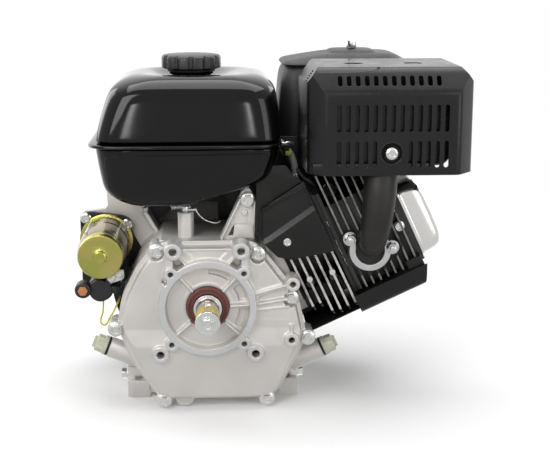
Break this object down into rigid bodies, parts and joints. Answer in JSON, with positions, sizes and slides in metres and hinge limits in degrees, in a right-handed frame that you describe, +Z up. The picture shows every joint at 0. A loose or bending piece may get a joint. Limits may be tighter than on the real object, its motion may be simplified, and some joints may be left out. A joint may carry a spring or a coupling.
{
  "type": "small gasoline engine",
  "caption": "Air-cooled single-cylinder overhead-valve petrol engine with a sloping cylinder, keyed output shaft, fuel tank, guarded muffler, recoil and electric starters.",
  "frame": {"origin": "on the crank axis, at the centre of the end bolt's front face, 66 mm in front of the plane of the four output-side mounting bosses", "axes": "+X to the right seen from the output shaft, +Y along the crank axis from the output shaft to the recoil starter, +Z up from the mounting feet"},
  "size_m": [0.4939, 0.354, 0.447],
  "materials": {
    "cast_aluminium": "cast, fine sand grain",
    "machined_steel": "ground and polished",
    "zinc_plate": "bright zinc plated",
    "yellow_zinc": "yellow zinc plated",
    "chrome": "bright chrome",
    "cast_iron": "as cast",
    "head_casting": "black painted casting with bare fin edges",
    "gloss_black": "high gloss black paint",
    "satin_black": "satin heat-resistant black paint",
    "grey_plastic": "moulded, finely grained",
    "black_plastic": "moulded, satin",
    "cream_plastic": "moulded, smooth",
    "seal_rubber": "moulded lip seal",
    "filter_foam": "open-cell foam"
  },
  "bodies": {
    "root": {"crankcase": "cast_aluminium", "crankcase_cover": "cast_aluminium", "carburetor": "cast_aluminium", "pto_bearing": "machined_steel", "flywheel_bearing": "machined_steel", "spark_plug": "zinc_plate", "exhaust_flange": "zinc_plate", "exhaust_nut_left": "zinc_plate", "exhaust_nut_right": "zinc_plate", "muffler_cover_bolt": "zinc_plate", "bracket_bolt": "zinc_plate", "drain_bolt_left": "zinc_plate", "drain_bolt_right": "zinc_plate", "starter_motor": "yellow_zinc", "valve_cover": "chrome", "cylinder_head": "head_casting", "fuel_tank": "gloss_black", "head_shroud": "satin_black", "side_shroud": "satin_black", "exhaust_pipe": "satin_black", "muffler_body": "satin_black", "muffler_cover": "satin_black", "fan_housing": "satin_black", "recoil_housing": "satin_black", "air_cleaner_base": "grey_plastic", "air_cleaner_cover": "grey_plastic", "plug_cap": "black_plastic", "ignition_coil": "black_plastic", "starter_solenoid": "black_plastic", "key_switch": "black_plastic", "pto_oil_seal": "seal_rubber", "filter_element": "filter_foam"},
    "crank": {"crankshaft_pto_half": "machined_steel", "crankshaft_flywheel_half": "machined_steel", "shaft_end_bolt": "zinc_plate", "flywheel": "cast_iron", "cooling_fan": "black_plastic", "starter_cup": "zinc_plate"},
    "cam": {"camshaft": "cast_iron"},
    "piston": {"piston": "cast_aluminium", "piston_pin": "machined_steel"},
    "rod": {"connecting_rod": "cast_aluminium", "crankpin": "machined_steel"},
    "exhaust_rocker_arm": {"exhaust_rocker": "machined_steel"},
    "intake_rocker_arm": {"intake_rocker": "machined_steel"},
    "exhaust_valve_stem": {"exhaust_valve": "machined_steel"},
    "intake_valve_stem": {"intake_valve": "machined_steel"},
    "exhaust_push_rod": {"exhaust_pushrod": "machined_steel"},
    "intake_push_rod": {"intake_pushrod": "machined_steel"},
    "filler_cap": {"fuel_cap": "black_plastic"},
    "dipstick_left": {"oil_plug_left": "cream_plastic"},
    "dipstick_right": {"oil_plug_right": "cream_plastic"},
    "cleaner_nut": {"wing_nut": "zinc_plate"},
    "choke": {"choke_lever": "black_plastic"},
    "fuel_valve": {"fuel_valve_lever": "black_plastic"},
    "throttle": {"throttle_lever": "zinc_plate"},
    "key": {"ignition_key": "zinc_plate"},
    "pull_grip": {"pull_handle": "black_plastic"},
    "reel": {"recoil_reel": "black_plastic"},
    "pinion": {"starter_pinion": "machined_steel"}
  },
  "joints": [
    {"name": "crank_spin", "type": "hinge", "parent": "root", "child": "crank", "pos_m": [0, 0.066, 0], "axis": [0, 1, 0], "continuous": true},
    {"name": "cam_spin", "type": "hinge", "parent": "root", "child": "cam", "pos_m": [0.06143, 0.066, -0.03756], "axis": [0, 1, 0], "continuous": true},
    {"name": "piston_slide", "type": "slide", "parent": "root", "child": "piston", "axis": [0.9063, 0, 0.4226], "range_m": [-0.064, 0]},
    {"name": "rod_swing", "type": "hinge", "parent": "piston", "child": "rod", "pos_m": [0.1287, 0.158, 0.06001], "axis": [0, 1, 0], "range_deg": [-16, 16]},
    {"name": "exhaust_rocker_tilt", "type": "hinge", "parent": "root", "child": "exhaust_rocker_arm", "pos_m": [0.26463, 0.134, 0.0903], "axis": [0, -1, 0], "range_deg": [0, 11.5]},
    {"name": "exhaust_valve_slide", "type": "slide", "parent": "root", "child": "exhaust_valve_stem", "axis": [-0.9063, 0, -0.4226], "range_m": [0, 0.006]},
    {"name": "exhaust_pushrod_slide", "type": "slide", "parent": "root", "child": "exhaust_push_rod", "axis": [0.9063, 0, 0.4226], "range_m": [0, 0.0062]},
    {"name": "intake_rocker_tilt", "type": "hinge", "parent": "root", "child": "intake_rocker_arm", "pos_m": [0.26463, 0.182, 0.0903], "axis": [0, -1, 0], "range_deg": [0, 11.5]},
    {"name": "intake_valve_slide", "type": "slide", "parent": "root", "child": "intake_valve_stem", "axis": [-0.9063, 0, -0.4226], "range_m": [0, 0.006]},
    {"name": "intake_pushrod_slide", "type": "slide", "parent": "root", "child": "intake_push_rod", "axis": [0.9063, 0, 0.4226], "range_m": [0, 0.0062]},
    {"name": "fuel_cap_turn", "type": "hinge", "parent": "root", "child": "filler_cap", "pos_m": [-0.017, 0.176, 0.29], "axis": [0, 0, 1], "range_deg": [0, 90]},
    {"name": "oil_plug_left_turn", "type": "hinge", "parent": "root", "child": "dipstick_left", "pos_m": [-0.126, 0.13, -0.0664], "axis": [-0.9252, 0, 0.3795], "range_deg": [0, 360]},
    {"name": "oil_plug_right_turn", "type": "hinge", "parent": "root", "child": "dipstick_right", "pos_m": [0.1438, 0.124, -0.0703], "axis": [0.91, 0, 0.4147], "range_deg": [0, 360]},
    {"name": "wing_nut_turn", "type": "hinge", "parent": "root", "child": "cleaner_nut", "pos_m": [0.196, 0.271, 0.305], "axis": [0, 0, 1], "range_deg": [0, 360]},
    {"name": "choke_tilt", "type": "hinge", "parent": "root", "child": "choke", "pos_m": [0.2146, 0.244, 0.092], "axis": [-1, 0, 0], "range_deg": [0, 60]},
    {"name": "fuel_valve_turn", "type": "hinge", "parent": "root", "child": "fuel_valve", "pos_m": [0.187, 0.266, 0.06], "axis": [0, 1, 0], "range_deg": [0, 90]},
    {"name": "throttle_tilt", "type": "hinge", "parent": "root", "child": "throttle", "pos_m": [-0.112, 0.2535, 0.084], "axis": [0, 1, 0], "range_deg": [-35, 0]},
    {"name": "key_turn", "type": "hinge", "parent": "root", "child": "key", "pos_m": [-0.15, 0.28, -0.001], "axis": [-1, 0, 0], "range_deg": [0, 90]},
    {"name": "pull_slide", "type": "slide", "parent": "root", "child": "pull_grip", "axis": [-0.4472, 0, 0.8944], "range_m": [0, 0.7]},
    {"name": "reel_spin", "type": "hinge", "parent": "root", "child": "reel", "pos_m": [0, 0.328, 0], "axis": [0, -1, 0], "range_deg": [0, 745]},
    {"name": "pinion_slide", "type": "slide", "parent": "root", "child": "pinion", "axis": [0, 1, 0], "range_m": [0, 0.015]}
  ],
  "couplings": [
    {"joint": "cam_spin", "follows": "crank_spin", "ratio": -0.5},
    {"joint": "exhaust_rocker_tilt", "follows": "exhaust_valve_slide", "rad_per_m": 33.333},
    {"joint": "exhaust_pushrod_slide", "follows": "exhaust_valve_slide", "ratio": 1},
    {"joint": "intake_rocker_tilt", "follows": "intake_valve_slide", "rad_per_m": 33.333},
    {"joint": "intake_pushrod_slide", "follows": "intake_valve_slide", "ratio": 1},
    {"joint": "reel_spin", "follows": "pull_slide", "rad_per_m": 18.5}
  ]
}
